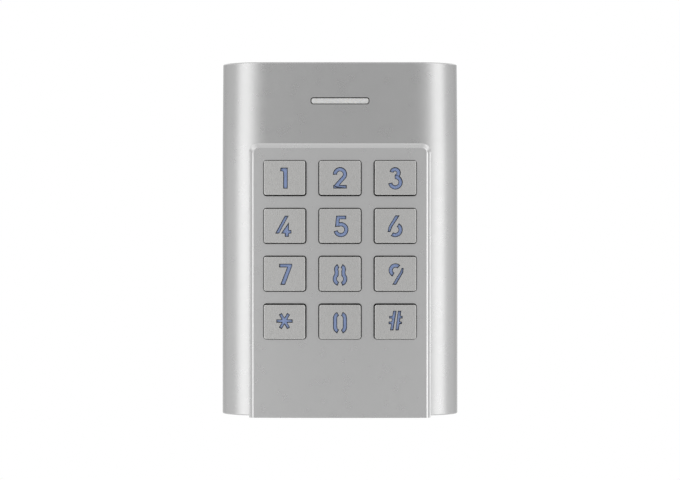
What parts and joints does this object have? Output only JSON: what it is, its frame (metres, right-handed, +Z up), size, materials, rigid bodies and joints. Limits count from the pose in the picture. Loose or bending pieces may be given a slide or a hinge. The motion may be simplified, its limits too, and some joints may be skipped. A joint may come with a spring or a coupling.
{
  "type": "keypad access reader",
  "caption": "Wall-mounted door access reader with rounded metal shoulders, a status lamp bar above a raised telephone-style keypad, and a proximity antenna inside.",
  "frame": {"origin": "point of the wall plane behind the middle of the reader: the wall bracket's back face, on the left-right centre line, 60 mm above the keypad panel's bottom edge", "axes": "+X to the right seen from the front, +Y into the wall, +Z up; the keypad faces -Y"},
  "size_m": [0.0808, 0.0269, 0.1207],
  "materials": {
    "silver_paint": "satin pearl grey, fine metallic grain",
    "panel_paint": "satin grey, slightly lighter than the housing",
    "key_metal": "satin, fine vertical brushing",
    "blue_guide": "translucent blue",
    "lamp_lens": "frosted translucent white",
    "silicone": "translucent grey silicone rubber",
    "circuit_board": "green glass-epoxy laminate",
    "component": "black moulded case",
    "header_plastic": "off-white nylon",
    "led_white": "pale resin",
    "copper_wire": "enamelled copper winding",
    "black_plastic": "black, fine spark-eroded texture",
    "black_rubber": "matt black",
    "clear_window": "clear polycarbonate",
    "zinc_steel": "zinc-plated sheet steel",
    "screw_steel": "plain steel"
  },
  "bodies": {
    "reader": {"antenna_coil": "copper_wire", "board_screw_1": "screw_steel", "board_screw_2": "screw_steel", "board_screw_3": "screw_steel", "board_screw_4": "screw_steel", "buzzer": "component", "cable_grommet": "black_rubber", "circuit_board": "circuit_board", "cover_screw_1": "screw_steel", "cover_screw_2": "screw_steel", "cover_screw_3": "screw_steel", "cover_screw_4": "screw_steel", "front_housing": "silver_paint", "key_mat": "silicone", "keypad_panel": "panel_paint", "lock_relay": "component", "microcontroller": "component", "panel_screw_1": "screw_steel", "panel_screw_2": "screw_steel", "panel_screw_3": "screw_steel", "panel_screw_4": "screw_steel", "rear_cover": "black_plastic", "rear_gasket": "black_rubber", "security_screw": "screw_steel", "status_lamp_lens": "lamp_lens", "status_led_centre": "led_white", "status_led_left": "led_white", "status_led_right": "led_white", "tamper_sensor": "component", "tamper_window": "clear_window", "wall_bracket": "zinc_steel", "wire_header": "header_plastic"},
    "key_1": {"key_cap_1": "key_metal", "key_light_guide_1": "blue_guide"},
    "key_2": {"key_cap_2": "key_metal", "key_light_guide_2": "blue_guide"},
    "key_3": {"key_cap_3": "key_metal", "key_light_guide_3": "blue_guide"},
    "key_4": {"key_cap_4": "key_metal", "key_light_guide_4": "blue_guide"},
    "key_5": {"key_cap_5": "key_metal", "key_light_guide_5": "blue_guide"},
    "key_6": {"key_cap_6": "key_metal", "key_light_guide_6": "blue_guide"},
    "key_7": {"key_cap_7": "key_metal", "key_light_guide_7": "blue_guide"},
    "key_8": {"key_cap_8": "key_metal", "key_light_guide_8": "blue_guide"},
    "key_9": {"key_cap_9": "key_metal", "key_light_guide_9": "blue_guide"},
    "key_star": {"key_cap_star": "key_metal", "key_light_guide_star": "blue_guide"},
    "key_0": {"key_cap_0": "key_metal", "key_light_guide_0": "blue_guide"},
    "key_hash": {"key_cap_hash": "key_metal", "key_light_guide_hash": "blue_guide"}
  },
  "joints": [
    {"name": "key_1_press", "type": "slide", "parent": "reader", "child": "key_1", "axis": [0, 1, 0], "range_m": [0, 0.0008], "stiffness_N_per_m": 1500, "springref_m": -0.0012, "deforming": ["key_mat"]},
    {"name": "key_2_press", "type": "slide", "parent": "reader", "child": "key_2", "axis": [0, 1, 0], "range_m": [0, 0.0008], "stiffness_N_per_m": 1500, "springref_m": -0.0012, "deforming": ["key_mat"]},
    {"name": "key_3_press", "type": "slide", "parent": "reader", "child": "key_3", "axis": [0, 1, 0], "range_m": [0, 0.0008], "stiffness_N_per_m": 1500, "springref_m": -0.0012, "deforming": ["key_mat"]},
    {"name": "key_4_press", "type": "slide", "parent": "reader", "child": "key_4", "axis": [0, 1, 0], "range_m": [0, 0.0008], "stiffness_N_per_m": 1500, "springref_m": -0.0012, "deforming": ["key_mat"]},
    {"name": "key_5_press", "type": "slide", "parent": "reader", "child": "key_5", "axis": [0, 1, 0], "range_m": [0, 0.0008], "stiffness_N_per_m": 1500, "springref_m": -0.0012, "deforming": ["key_mat"]},
    {"name": "key_6_press", "type": "slide", "parent": "reader", "child": "key_6", "axis": [0, 1, 0], "range_m": [0, 0.0008], "stiffness_N_per_m": 1500, "springref_m": -0.0012, "deforming": ["key_mat"]},
    {"name": "key_7_press", "type": "slide", "parent": "reader", "child": "key_7", "axis": [0, 1, 0], "range_m": [0, 0.0008], "stiffness_N_per_m": 1500, "springref_m": -0.0012, "deforming": ["key_mat"]},
    {"name": "key_8_press", "type": "slide", "parent": "reader", "child": "key_8", "axis": [0, 1, 0], "range_m": [0, 0.0008], "stiffness_N_per_m": 1500, "springref_m": -0.0012, "deforming": ["key_mat"]},
    {"name": "key_9_press", "type": "slide", "parent": "reader", "child": "key_9", "axis": [0, 1, 0], "range_m": [0, 0.0008], "stiffness_N_per_m": 1500, "springref_m": -0.0012, "deforming": ["key_mat"]},
    {"name": "key_star_press", "type": "slide", "parent": "reader", "child": "key_star", "axis": [0, 1, 0], "range_m": [0, 0.0008], "stiffness_N_per_m": 1500, "springref_m": -0.0012, "deforming": ["key_mat"]},
    {"name": "key_0_press", "type": "slide", "parent": "reader", "child": "key_0", "axis": [0, 1, 0], "range_m": [0, 0.0008], "stiffness_N_per_m": 1500, "springref_m": -0.0012, "deforming": ["key_mat"]},
    {"name": "key_hash_press", "type": "slide", "parent": "reader", "child": "key_hash", "axis": [0, 1, 0], "range_m": [0, 0.0008], "stiffness_N_per_m": 1500, "springref_m": -0.0012, "deforming": ["key_mat"]}
  ]
}
